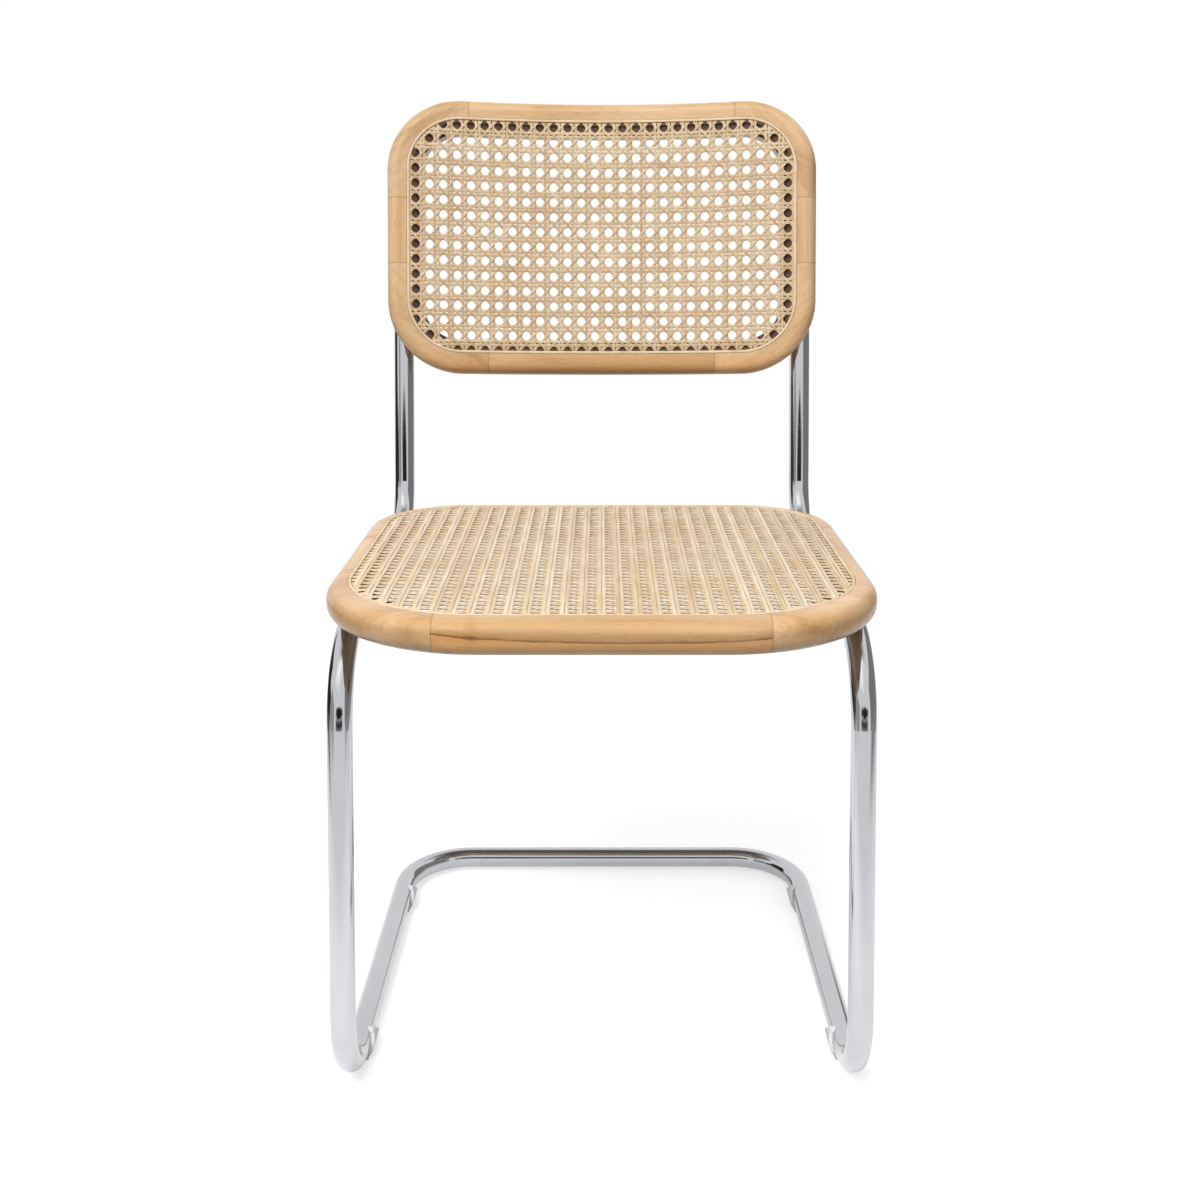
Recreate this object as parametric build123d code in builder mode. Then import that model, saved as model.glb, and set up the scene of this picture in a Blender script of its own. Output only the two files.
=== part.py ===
"""Cantilever dining chair: a chromed tube frame with a caned wooden seat and a caned, bowed backrest.

The chair faces -Y, +X is to the right as seen from its front, and +Z is up. The origin is on the floor, in
the middle of the chair's outline. Left and right in the names are also as seen from the front.
All sizes are in millimetres and degrees.
"""
from build123d import *
import os
from math import asin, cos, radians, sin, sqrt, tan

# Tube frame
tube_diameter = 22.0
tube_wall = 2.0
frame_width = 462.0
upright_bend_radius = 70.0
leg_bend_radius = 84.0
foot_bend_radius = 58.0
corner_bend_radius = 70.0
leg_lean = 8.3
back_lean = 10.1
leg_setback = 68.0
seat_tube_length = 400.0
base_length = 442.0
cross_stub = 12.0

# Sleeves in the rear cross tube, and plugs in the upright ends
seam_gap = 0.3
sleeve_engagement = 32.0
sleeve_wall = 2.0
sleeve_clearance = 0.1
cap_flange = 2.0
cap_stem = 14.0
cap_clearance = 0.1

# Clip-on glides under the runners
glide_sole = 3.0
glide_wall = 3.4
glide_length = 32.0
glide_tip_length = 9.0
glide_tip_rise = 4.0
glide_ear_height = 19.0
glide_outer_height = 8.0
glide_sole_width = 18.0
glide_clearance = 0.1
glide_setback = 2.0

# Seat frame
seat_height = 435.0
seat_side_overhang = 10.0
seat_depth = 458.0
seat_thickness = 29.0
seat_front_corner_radius = 142.0
seat_rear_corner_radius = 98.0
seat_edge_round = 13.0
seat_rail_width = 44.0
seat_front_border = 24.5
seat_side_border = 17.5
seat_rear_border = 15.0
seat_cross_rail_length = 270.0
seat_side_rail_length = 120.0

# Backrest frame
back_side_overhang = 3.0
back_height = 300.0
back_thickness = 24.0
back_corner_radius = 80.0
back_edge_round = 10.0
back_bow_radius = 730.0
back_rise = 177.5
back_rail_width = 36.5
back_border = 21.5
back_upper_border = 19.0
back_lower_border = 22.5
back_top_rail_length = 292.0
back_bottom_rail_length = 250.0
back_side_rail_start = 119.0
back_side_rail_length = 71.0
upright_overlap = 226.0

# Rounding of the wood: the window's rear edge, and the largest share of a thickness that an edge round takes
window_round = 2.0
largest_round = 0.48

# Cane, its groove and the reed spline that wedges it
groove_width = 3.2
groove_depth = 7.0
lip_width = 2.5
lip_drop = 1.6
ledge_drop = 6.0
cane_thickness = 1.2
cane_clearance = 0.1
mesh_pitch = 32.0
mesh_opening = 16.0
spline_clearance = 0.15
spline_crown = 0.5
spline_round = 1.0

# Beds for the tube in the wood
tube_let_in = 3.0
bed_clearance = 0.15

# Screws through the tube, and dowels in the wood joints
screw_diameter = 5.0
screw_bite = 13.0
screw_clearance = 0.1
screw_head_diameter = 10.0
screw_head_height = 3.0
screw_head_round = 2.1
screw_socket_width = 3.0
screw_socket_depth = 2.0
seat_screw_inset = 5.5
seat_screw_spacing = 190.0
back_screw_start = 62.0
back_screw_spacing = 92.0
dowel_diameter = 8.0
dowel_length = 30.0
dowel_clearance = 0.1
seat_dowel_inset = 20.0
back_dowel_inset = 12.0

# Heights and widths that follow from the sizes above
SIDES = {"left": -1, "right": 1}
tube_radius = tube_diameter / 2
bore_radius = tube_radius - tube_wall
tube_x = frame_width / 2 - tube_radius
runner_z = glide_sole + tube_radius
cross_tube_length = 2 * (tube_x - corner_bend_radius - cross_stub)
seat_width = frame_width + 2 * seat_side_overhang
seat_bottom_z = seat_height - seat_thickness
seat_tube_z = seat_bottom_z + tube_let_in - tube_radius
back_width = frame_width + 2 * back_side_overhang

# Bow of the backrest: its axis runs along the lean, ahead of the plane of the two upright axes
back_rear_radius = back_bow_radius + back_thickness
bow_centre = sqrt((back_rear_radius + tube_radius - tube_let_in) ** 2 - tube_x**2)
lean_sin = sin(radians(back_lean))
lean_cos = cos(radians(back_lean))

# Depth of the whole chair, from the seat's front edge to the rounded top of the backrest
back_foot_distance = leg_setback + seat_tube_length + back_rise * lean_sin
rear_round_distance = (back_height - back_edge_round) * lean_sin
rear_round_distance += (back_rear_radius - bow_centre - back_edge_round) * lean_cos + back_edge_round
overall_depth = back_foot_distance + rear_round_distance
seat_front_y = -overall_depth / 2
seat_centre_y = seat_front_y + seat_depth / 2

# Corners of the tube's centre line
leg_top_y = seat_front_y + leg_setback
foot_y = leg_top_y - (seat_tube_z - runner_z) * tan(radians(leg_lean))
cross_tube_y = foot_y + base_length
upright_foot_y = leg_top_y + seat_tube_length
upright_length = back_rise + upright_overlap
leg_tangent = leg_bend_radius * tan(radians((90 - leg_lean) / 2))
foot_tangent = foot_bend_radius * tan(radians((90 + leg_lean) / 2))

# Planes of the backrest, with their origin at its foot, midway between the upright axes
back_foot = Vector(0, upright_foot_y + back_rise * lean_sin, seat_tube_z + back_rise * lean_cos)
up_the_back = Vector(0, lean_sin, lean_cos)
out_of_back = Vector(0, -lean_cos, lean_sin)
back_plane = Plane(back_foot, x_dir=(1, 0, 0), z_dir=out_of_back)
bow_plane = Plane(back_foot, x_dir=(1, 0, 0), z_dir=up_the_back)
back_reach = back_width / 2

os.makedirs("parts", exist_ok=True)


def save(part, name):
    """Label one finished piece and write it."""
    part.label = name
    export_step(part, f"parts/{name}.step")
    print(name, len(part.solids()), "solids", round(part.volume), "mm3")


# Centre line of the tube, and the screws that pass through it


def side_line(side, extra=0.0):
    """Centre line of one side tube, from the top of its upright to its seam with the rear cross tube."""
    x = side * tube_x
    upright = upright_length + extra
    with BuildLine() as line:
        FilletPolyline(
            (x, upright_foot_y + upright * lean_sin, seat_tube_z + upright * lean_cos),
            (x, upright_foot_y, seat_tube_z),
            (x, leg_top_y, seat_tube_z),
            (x, foot_y, runner_z),
            (x, cross_tube_y, runner_z),
            (side * cross_tube_length / 2, cross_tube_y, runner_z),
            radius=[upright_bend_radius, leg_bend_radius, foot_bend_radius, corner_bend_radius],
        )
    return line.wires()[0]


def swept_rod(line, radius):
    """Round rod along a centre line."""
    with BuildPart() as rod:
        with BuildSketch(Plane(line @ 0, z_dir=line % 0)):
            Circle(radius)
        sweep(path=line)
    return rod.part


def seat_screw_planes(side):
    """Planes on one tube's axis at the seat screws, with +Z into the wood."""
    first_y = leg_top_y + leg_tangent + seat_screw_inset
    return [Plane((side * tube_x, first_y + step * seat_screw_spacing, seat_tube_z)) for step in (0, 1)]


def back_screw_planes(side):
    """Planes on one tube's axis at the back screws, with +Z into the wood."""
    first = back_foot + up_the_back * back_screw_start + Vector(side * tube_x, 0, 0)
    places = [first + up_the_back * step * back_screw_spacing for step in (0, 1)]
    return [Plane(place, x_dir=(1, 0, 0), z_dir=out_of_back) for place in places]


def screw_holes(planes):
    """Clearance holes of screws, from outside the tube to past the screw tips."""
    with BuildPart() as drills:
        for plane in planes:
            with BuildSketch(plane.offset(-tube_diameter)):
                Circle(screw_diameter / 2 + screw_clearance)
            extrude(amount=tube_diameter + tube_radius - tube_let_in + screw_bite + screw_clearance)
    return drills.part


seat_screws_at = seat_screw_planes(-1) + seat_screw_planes(1)
back_screws_at = back_screw_planes(-1) + back_screw_planes(1)
seat_screw_holes = screw_holes(seat_screws_at)
back_screw_holes = screw_holes(back_screws_at)
tube_beds = []
for side in SIDES.values():
    bed_line = side_line(side, cap_flange + bed_clearance)
    tube_beds.append(swept_rod(bed_line, tube_radius + bed_clearance))

# Side tubes, their end plugs and their joint sleeves
for side_name, side in SIDES.items():
    line = side_line(side)
    upright_end = Plane(line @ 0, z_dir=line % 0)
    with BuildPart() as side_tube:
        with BuildSketch(upright_end):
            Circle(tube_radius)
        sweep(path=line)
        with BuildSketch(upright_end):
            Circle(bore_radius)
        sweep(path=line, mode=Mode.SUBTRACT)
        add(seat_screw_holes, mode=Mode.SUBTRACT)
        add(back_screw_holes, mode=Mode.SUBTRACT)
    save(side_tube.part, f"{side_name}_side_tube")

    with BuildPart() as tube_cap:
        with BuildSketch(upright_end):
            Circle(tube_radius)
        extrude(amount=-cap_flange)
        with BuildSketch(upright_end):
            Circle(bore_radius - cap_clearance)
        extrude(amount=cap_stem)
        crown = tube_cap.faces().sort_by(Axis(upright_end.origin, up_the_back))[-1]
        fillet(crown.edges(), cap_flange / 2)
    save(tube_cap.part, f"{side_name}_tube_cap")

    seam = Plane((side * cross_tube_length / 2, cross_tube_y, runner_z), z_dir=(side, 0, 0))
    with BuildPart() as sleeve:
        with BuildSketch(seam.offset(-sleeve_engagement)):
            Circle(bore_radius - sleeve_clearance)
            Circle(bore_radius - sleeve_clearance - sleeve_wall, mode=Mode.SUBTRACT)
        extrude(amount=sleeve_engagement + cross_stub)
    save(sleeve.part, f"{side_name}_joint_sleeve")

with BuildPart() as rear_cross_tube:
    with BuildSketch(Plane((0, cross_tube_y, runner_z), z_dir=(1, 0, 0))):
        Circle(tube_radius)
        Circle(bore_radius, mode=Mode.SUBTRACT)
    extrude(amount=cross_tube_length / 2 - seam_gap, both=True)
save(rear_cross_tube.part, "rear_cross_tube")

# Glides: an open clip round the runner, with a flat sole, a rounded ear inside and a low edge outside
front_glide_y = foot_y + foot_tangent + glide_setback + glide_length / 2
rear_glide_y = cross_tube_y - corner_bend_radius - glide_setback - glide_length / 2
shoulder = glide_length / 2
tip = glide_tip_length / 2

for side_name, side in SIDES.items():
    for end_name, glide_y in {"front": front_glide_y, "rear": rear_glide_y}.items():
        across = Plane((side * tube_x, glide_y, runner_z), x_dir=(1, 0, 0), z_dir=(0, -1, 0))
        along = Plane((side * tube_x, glide_y, 0), x_dir=(0, 1, 0), z_dir=(1, 0, 0))
        with BuildPart() as glide:
            with BuildSketch(across):
                Circle(tube_radius + glide_wall)
                with Locations((0, -runner_z / 2)):
                    Rectangle(glide_sole_width, runner_z)
                Circle(tube_radius + glide_clearance, mode=Mode.SUBTRACT)
            extrude(amount=glide_length / 2, both=True)
            with BuildSketch(along):
                with BuildLine():
                    Polyline((-shoulder, glide_sole), (-shoulder, 0), (shoulder, 0), (shoulder, glide_sole))
                    TangentArc((shoulder, glide_sole), (tip, glide_ear_height), tangent=(0, 1))
                    ThreePointArc(
                        (tip, glide_ear_height),
                        (0, glide_ear_height + glide_tip_rise),
                        (-tip, glide_ear_height),
                    )
                    TangentArc((-shoulder, glide_sole), (-tip, glide_ear_height), tangent=(0, 1))
                make_face()
            extrude(amount=tube_diameter, both=True, mode=Mode.INTERSECT)
            with BuildSketch(Plane((side * (tube_x + tube_radius), glide_y, glide_outer_height))):
                Rectangle(tube_diameter, glide_length)
            extrude(amount=tube_diameter, mode=Mode.SUBTRACT)
        save(glide.part, f"{end_name}_{side_name}_glide")


# Dowels across the joints of the wood frames


def dowels(planes, clearance):
    """Dowels on the given planes, along +Z and -Z, or the holes for them where there is clearance."""
    with BuildPart() as pegs:
        for plane in planes:
            with BuildSketch(plane):
                Circle(dowel_diameter / 2 + clearance)
            extrude(amount=dowel_length / 2 + clearance, both=True)
    return pegs.part


def corner_region(low, high):
    """Rectangle of a frame's face between two corners."""
    with Locations(((low[0] + high[0]) / 2, (low[1] + high[1]) / 2)):
        Rectangle(high[0] - low[0], high[1] - low[1])


# Openings of the cane: a plain grid stands for its weave


def cane_openings(window):
    """Square openings on a grid, those that lie wholly inside a window."""
    box = window.bounding_box()
    middle = box.center()
    columns = int(box.size.X / mesh_pitch)
    rows = int(box.size.Y / mesh_pitch)
    reach = (-mesh_opening / 2, mesh_opening / 2)
    places = []
    for column in range(columns):
        for row in range(rows):
            x = middle.X + (column - (columns - 1) / 2) * mesh_pitch
            y = middle.Y + (row - (rows - 1) / 2) * mesh_pitch
            corners = [(x + right, y + up) for right in reach for up in reach]
            if all(window.faces()[0].is_inside((*corner, 0)) for corner in corners):
                places.append((x, y))
    with BuildSketch() as openings:
        with Locations(*places):
            Rectangle(mesh_opening, mesh_opening)
    return openings.sketch


# Seat frame: one rounded outline with a groove for the cane, cut into rails and corner pieces


def seat_plan(front, side, rear):
    """Rounded outline of the seat, drawn in from its outer edge at the front, the sides and the rear."""
    depth = seat_depth - front - rear
    with BuildSketch() as plan:
        with Locations((0, seat_front_y + front + depth / 2)):
            Rectangle(seat_width - 2 * side, depth)
        fillet(plan.vertices().group_by(Axis.Y)[0], seat_front_corner_radius - side)
        fillet(plan.vertices().group_by(Axis.Y)[-1], seat_rear_corner_radius - side)
    return plan.sketch


def seat_groove_plan(inset):
    """Rounded outline of the seat's groove, drawn in from its outer wall."""
    return seat_plan(seat_front_border + inset, seat_side_border + inset, seat_rear_border + inset)


seat_outer_plan = seat_plan(0, 0, 0)
seat_window_plan = seat_plan(seat_rail_width, seat_rail_width, seat_rail_width)
groove_outer_plan = seat_groove_plan(0)
groove_inner_plan = seat_groove_plan(groove_width)
lip_inner_plan = seat_groove_plan(groove_width + lip_width)
spline_outer_plan = seat_groove_plan(spline_clearance)
spline_inner_plan = seat_groove_plan(groove_width - spline_clearance)
cane_plan = seat_groove_plan(groove_width + cane_clearance)
seat_top = Plane.XY.offset(seat_height)
seat_underside = Plane.XY.offset(seat_bottom_z)

with BuildPart() as seat_blank:
    with BuildSketch(seat_underside):
        add(seat_outer_plan)
    extrude(amount=seat_thickness)
    broad_faces = seat_blank.faces().sort_by(SortBy.AREA)[-2:]
    fillet(broad_faces.edges(), min(seat_edge_round, largest_round * seat_thickness))
    with BuildSketch(seat_underside):
        add(seat_window_plan)
    extrude(amount=seat_thickness, mode=Mode.SUBTRACT)
    window_rim = seat_blank.faces().sort_by(Axis.Z)[0].inner_wires().edges()
    fillet(window_rim, window_round)
    with BuildSketch(seat_top):
        add(groove_outer_plan)
        add(groove_inner_plan, mode=Mode.SUBTRACT)
    extrude(amount=-groove_depth, mode=Mode.SUBTRACT)
    with BuildSketch(seat_top):
        add(groove_inner_plan)
    extrude(amount=-lip_drop, mode=Mode.SUBTRACT)
    with BuildSketch(seat_top):
        add(lip_inner_plan)
    extrude(amount=-ledge_drop, mode=Mode.SUBTRACT)
    for bed in tube_beds:
        add(bed, mode=Mode.SUBTRACT)
    add(seat_screw_holes, mode=Mode.SUBTRACT)

cross_end = seat_cross_rail_length / 2
side_end = seat_side_rail_length / 2
seat_mid_z = seat_bottom_z + seat_thickness / 2
seat_dowels_at = []
for x_sign in (-1, 1):
    for y_sign in (-1, 1):
        rail_y = seat_centre_y + y_sign * (seat_depth / 2 - seat_dowel_inset)
        seat_dowels_at.append(Plane((x_sign * cross_end, rail_y, seat_mid_z), z_dir=(1, 0, 0)))
        rail_x = x_sign * (seat_width / 2 - seat_dowel_inset)
        joint_y = seat_centre_y + y_sign * side_end
        seat_dowels_at.append(Plane((rail_x, joint_y, seat_mid_z), z_dir=(0, 1, 0)))
seat_dowels = dowels(seat_dowels_at, 0)
save(seat_dowels, "seat_dowels")
seat_dowel_holes = dowels(seat_dowels_at, dowel_clearance)

# The part of the seat's plan that each piece takes, from the seat's centre
far_x = seat_width
far_y = seat_depth
seat_regions = {
    "seat_front_rail": ((-cross_end, -far_y), (cross_end, 0)),
    "seat_rear_rail": ((-cross_end, 0), (cross_end, far_y)),
    "seat_left_rail": ((-far_x, -side_end), (-cross_end, side_end)),
    "seat_right_rail": ((cross_end, -side_end), (far_x, side_end)),
    "seat_front_left_corner": ((-far_x, -far_y), (-cross_end, -side_end)),
    "seat_front_right_corner": ((cross_end, -far_y), (far_x, -side_end)),
    "seat_rear_left_corner": ((-far_x, side_end), (-cross_end, far_y)),
    "seat_rear_right_corner": ((cross_end, side_end), (far_x, far_y)),
}
for name, (low, high) in seat_regions.items():
    with BuildPart() as seat_piece:
        add(seat_blank.part)
        with BuildSketch(Plane((0, seat_centre_y, 0))):
            corner_region(low, high)
        extrude(amount=seat_height, mode=Mode.INTERSECT)
        add(seat_dowel_holes, mode=Mode.SUBTRACT)
    save(seat_piece.part, name)

# Seat cane on the lip of its groove, and the spline that wedges it
with BuildPart() as seat_cane:
    with BuildSketch(Plane.XY.offset(seat_height - lip_drop)):
        add(cane_plan)
        add(cane_openings(seat_window_plan), mode=Mode.SUBTRACT)
    extrude(amount=cane_thickness)
save(seat_cane.part, "seat_cane")

with BuildPart() as seat_spline:
    with BuildSketch(Plane.XY.offset(seat_height - groove_depth)):
        add(spline_outer_plan)
        add(spline_inner_plan, mode=Mode.SUBTRACT)
    extrude(amount=groove_depth + spline_crown)
    fillet(seat_spline.faces().sort_by(Axis.Z)[-1].edges(), spline_round)
save(seat_spline.part, "seat_spline")


# Backrest frame: a bowed slab with a rounded outline, cut into rails and corner pieces


def bow_ring(front, rear):
    """Ring of the bow between two depths behind its front face."""
    with Locations((0, -bow_centre)):
        Circle(back_bow_radius + rear)
        Circle(back_bow_radius + front, mode=Mode.SUBTRACT)


def back_outline(inset):
    """Rounded outline of the backrest, drawn in from its outer edge."""
    with Locations((0, back_height / 2)):
        RectangleRounded(back_width - 2 * inset, back_height - 2 * inset, back_corner_radius - inset)


def groove_outline(inset, mode=Mode.ADD):
    """Rounded outline of the backrest's groove, drawn in from its outer wall."""
    width = back_width - 2 * back_border
    height = back_height - back_upper_border - back_lower_border
    with Locations((0, back_lower_border + height / 2)):
        RectangleRounded(
            width - 2 * inset,
            height - 2 * inset,
            back_corner_radius - back_border - inset,
            mode=mode,
        )


def bowed_panel(front, rear, inset, hollow=None):
    """Panel that follows the bow between two depths, inside the groove's outline, or a ring of it."""
    with BuildPart() as panel:
        with BuildSketch(bow_plane):
            bow_ring(front, rear)
        extrude(amount=back_height)
        with BuildSketch(back_plane):
            groove_outline(inset)
            if hollow is not None:
                groove_outline(hollow, Mode.SUBTRACT)
        extrude(amount=back_reach, both=True, mode=Mode.INTERSECT)
    return panel.part


back_cuts = [
    bowed_panel(-back_thickness, groove_depth, 0, groove_width),
    bowed_panel(-back_thickness, lip_drop, groove_width),
    bowed_panel(-back_thickness, ledge_drop, groove_width + lip_width),
]

with BuildPart() as back_blank:
    with BuildSketch(bow_plane):
        bow_ring(0, back_thickness)
    extrude(amount=back_height)
    with BuildSketch(back_plane):
        back_outline(0)
    extrude(amount=back_reach, both=True, mode=Mode.INTERSECT)
    broad_faces = back_blank.faces().sort_by(SortBy.AREA)[-2:]
    fillet(broad_faces.edges(), min(back_edge_round, largest_round * back_thickness))
    with BuildSketch(back_plane):
        back_outline(back_rail_width)
    extrude(amount=back_reach, both=True, mode=Mode.SUBTRACT)
    rear_face = back_blank.faces().sort_by(SortBy.AREA)[-2:].sort_by(Axis(back_foot, out_of_back))[0]
    fillet(rear_face.inner_wires().edges(), window_round)
    for cut in back_cuts:
        add(cut, mode=Mode.SUBTRACT)
    for bed in tube_beds:
        add(bed, mode=Mode.SUBTRACT)
    add(back_screw_holes, mode=Mode.SUBTRACT)

# Dowels halfway through the backrest's thickness
back_mid_radius = back_bow_radius + back_thickness / 2
low_joint = back_side_rail_start
high_joint = back_side_rail_start + back_side_rail_length
top_end = back_top_rail_length / 2
bottom_end = back_bottom_rail_length / 2


def back_point(x, height):
    """Point halfway through the backrest, at one distance across and up."""
    depth = bow_centre - sqrt(back_mid_radius**2 - x**2)
    return back_foot + up_the_back * height + out_of_back * depth + Vector(x, 0, 0)


back_dowels_at = []
for x_sign in (-1, 1):
    rail_dowels = {bottom_end: back_dowel_inset, top_end: back_height - back_dowel_inset}
    for rail_end, height in rail_dowels.items():
        slope = asin(x_sign * rail_end / back_mid_radius)
        along_bow = Vector(cos(slope), 0, 0) + out_of_back * sin(slope)
        back_dowels_at.append(Plane(back_point(x_sign * rail_end, height), z_dir=along_bow))
    for height in (low_joint, high_joint):
        joint = back_point(x_sign * (back_width / 2 - back_dowel_inset), height)
        back_dowels_at.append(Plane(joint, z_dir=up_the_back))
back_dowels = dowels(back_dowels_at, 0)
save(back_dowels, "back_dowels")
back_dowel_holes = dowels(back_dowels_at, dowel_clearance)

# The part of the backrest's face that each piece takes, from its foot
far = back_width + back_height
mid_height = (low_joint + high_joint) / 2
back_regions = {
    "back_top_rail": ((-top_end, mid_height), (top_end, far)),
    "back_bottom_rail": ((-bottom_end, -far), (bottom_end, mid_height)),
    "back_left_rail": ((-far, low_joint), (-bottom_end, high_joint)),
    "back_right_rail": ((bottom_end, low_joint), (far, high_joint)),
    "back_top_left_corner": ((-far, high_joint), (-top_end, far)),
    "back_top_right_corner": ((top_end, high_joint), (far, far)),
    "back_bottom_left_corner": ((-far, -far), (-bottom_end, low_joint)),
    "back_bottom_right_corner": ((bottom_end, -far), (far, low_joint)),
}
for name, (low, high) in back_regions.items():
    with BuildPart() as back_piece:
        add(back_blank.part)
        with BuildSketch(back_plane):
            corner_region(low, high)
        extrude(amount=back_reach, both=True, mode=Mode.INTERSECT)
        add(back_dowel_holes, mode=Mode.SUBTRACT)
    save(back_piece.part, name)

# Back cane on the lip of its groove, and the spline that wedges it
with BuildSketch() as back_window:
    back_outline(back_rail_width)
back_openings = cane_openings(back_window.sketch)

with BuildPart() as back_cane:
    add(bowed_panel(lip_drop - cane_thickness, lip_drop, groove_width + cane_clearance))
    with BuildSketch(back_plane):
        add(back_openings)
    extrude(amount=back_reach, both=True, mode=Mode.SUBTRACT)
save(back_cane.part, "back_cane")

with BuildPart() as back_spline:
    add(bowed_panel(-spline_crown, groove_depth, spline_clearance, groove_width - spline_clearance))
    broad_faces = back_spline.faces().sort_by(SortBy.AREA)[-2:]
    fillet(broad_faces.sort_by(Axis(back_foot, out_of_back))[-1].edges(), spline_round)
save(back_spline.part, "back_spline")


# Screws: a domed head saddled on the tube, and a shank through the tube into the wood


def screws(planes, tube_axis):
    """One group of screws, each on a plane at its tube's axis."""
    head_bottom = -tube_radius - screw_head_height
    shank_bottom = head_bottom + screw_socket_depth
    with BuildPart() as group:
        for plane in planes:
            with BuildSketch(plane.offset(head_bottom)):
                Circle(screw_head_diameter / 2)
            extrude(amount=screw_head_height + tube_radius / 2)
        crowns = group.faces().group_by(Axis(planes[0].origin, planes[0].z_dir))[0]
        fillet(crowns.edges(), screw_head_round)
        for plane in planes:
            with BuildSketch(plane.offset(head_bottom)):
                RegularPolygon(screw_socket_width / 2, 6, major_radius=False)
            extrude(amount=screw_socket_depth, mode=Mode.SUBTRACT)
            with BuildSketch(Plane(plane.origin, z_dir=tube_axis)):
                Circle(tube_radius)
            extrude(amount=screw_head_diameter, both=True, mode=Mode.SUBTRACT)
        for plane in planes:
            with BuildSketch(plane.offset(shank_bottom)):
                Circle(screw_diameter / 2)
            extrude(amount=tube_radius - tube_let_in + screw_bite - shank_bottom)
    return group.part


save(screws(seat_screws_at, Vector(0, 1, 0)), "seat_screws")
save(screws(back_screws_at, up_the_back), "back_screws")
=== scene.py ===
from math import cos, pi, radians, sin, sqrt

import bpy
import numpy as np
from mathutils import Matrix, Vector


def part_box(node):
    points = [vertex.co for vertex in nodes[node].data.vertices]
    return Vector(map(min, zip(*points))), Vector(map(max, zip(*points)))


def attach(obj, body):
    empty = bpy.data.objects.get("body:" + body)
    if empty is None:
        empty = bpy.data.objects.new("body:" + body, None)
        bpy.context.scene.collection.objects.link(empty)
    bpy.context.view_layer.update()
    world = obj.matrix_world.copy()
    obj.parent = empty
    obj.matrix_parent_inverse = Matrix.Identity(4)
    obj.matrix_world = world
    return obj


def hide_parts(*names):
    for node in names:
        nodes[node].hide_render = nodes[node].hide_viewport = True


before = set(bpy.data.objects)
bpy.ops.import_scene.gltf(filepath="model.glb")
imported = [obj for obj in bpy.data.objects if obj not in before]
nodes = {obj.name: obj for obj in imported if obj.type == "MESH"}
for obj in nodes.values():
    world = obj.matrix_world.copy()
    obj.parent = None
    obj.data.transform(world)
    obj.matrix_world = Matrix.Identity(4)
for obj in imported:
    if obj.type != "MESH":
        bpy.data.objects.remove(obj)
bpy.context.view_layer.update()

MM = 0.001

# Backrest: lean, bow, thickness, edge of its cane and the tubes that it sits on, as in the solids
BACK_LEAN = radians(10.1)
BACK_BOW_RADIUS = 730 * MM
BACK_THICKNESS = 24 * MM
BACK_CANE_BOTTOM = 25.8 * MM
BACK_CANE_TOP = 277.7 * MM
BACK_CANE_CORNER = 55.2 * MM
BACK_CANE_HALF_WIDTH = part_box("back_cane")[1].x
TUBE_X = 220 * MM
TUBE_RADIUS = 11 * MM
TUBE_LET_IN = 3 * MM
UP_THE_BACK = Vector((0, sin(BACK_LEAN), cos(BACK_LEAN)))
OUT_OF_BACK = Vector((0, -cos(BACK_LEAN), sin(BACK_LEAN)))
BOW_CENTRE = sqrt((BACK_BOW_RADIUS + BACK_THICKNESS + TUBE_RADIUS - TUBE_LET_IN) ** 2 - TUBE_X**2)

# Seat cane: its box and its corners
SEAT_CANE_LOW, SEAT_CANE_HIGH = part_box("seat_cane")
SEAT_FRONT_CANE_CORNER = 121.2 * MM
SEAT_REAR_CANE_CORNER = 77.2 * MM

# Cane weave: pitch, half gap of a pair and strand width, each lengthwise and crosswise, then the width of
# the diagonals
BACK_PITCH = (15.24 * MM, 16.43 * MM)
BACK_HALF_GAP = (1.75 * MM, 1.95 * MM)
BACK_WIDTH = (2.8 * MM, 3.0 * MM)
BACK_DIAGONAL = 2.4 * MM
BACK_FIRST_OPENING = 42 * MM
BACK_ROWS_TO_ORIGIN = 7.5
SEAT_PITCH = (15.1 * MM, 11.0 * MM)
SEAT_HALF_GAP = (1.75 * MM, 1.6 * MM)
SEAT_WIDTH = (3.15 * MM, 3.0 * MM)
SEAT_DIAGONAL = 2.1 * MM

# Strands: thickness, height of a layer, how far from its edge the weave sinks, the shortest strand that is
# made, stations of a diagonal in one crossing and how sharply it changes layers
STRAND_THICKNESS = 0.7 * MM
SEAT_CROSSWISE_THICKNESS = 1.2 * MM
LAYER = 0.7 * MM
TUCK = 7 * MM
SHORTEST_STRAND = 3 * TUCK
DIAGONAL_STATIONS = 8
DIAGONAL_SHARPNESS = 2.2

# Depth of the lip and of the ledge under the cane's edge
LIP_DROP = 1.6 * MM
LEDGE_DROP = 6 * MM

# A strand strays sideways a little, in waves of a length between two limits
STRAND_DRIFT = 0.12 * MM
DRIFT_WAVES = (50 * MM, 110 * MM)
SEAT_SEED = 3
BACK_SEED = 5

# Heights of the strands, in layers: lengthwise, crosswise and the wave of a pair through the other pair,
# then each diagonal where it meets a lengthwise pair and where it meets a crosswise pair
BACK_LEVELS = {
    "lengthwise": 0.0,
    "crosswise": 0.0,
    "wave": 0.5,
    "rising": (1.0, -1.0),
    "falling": (-1.0, 1.0),
}
SEAT_LEVELS = {
    "lengthwise": 1.0,
    "crosswise": -0.5,
    "wave": 0.0,
    "rising": (0.0, 0.5),
    "falling": (-1.0, -1.5),
}

# Layers from the middle of a weave down to its lowest strand
BACK_LOWEST = 1.0
SEAT_LOWEST = 1.5

# Tone of the cane in red, green and blue: the seat's is paler and cooler than the back's, and the seat's
# paleness is partly painted light that lifts its weave out of the weave's own shade
BACK_CANE_TONE = (0.91, 0.865, 0.81)
SEAT_CANE_TONE_AND_LIGHT = (1.05, 1.05, 1.05)

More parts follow.
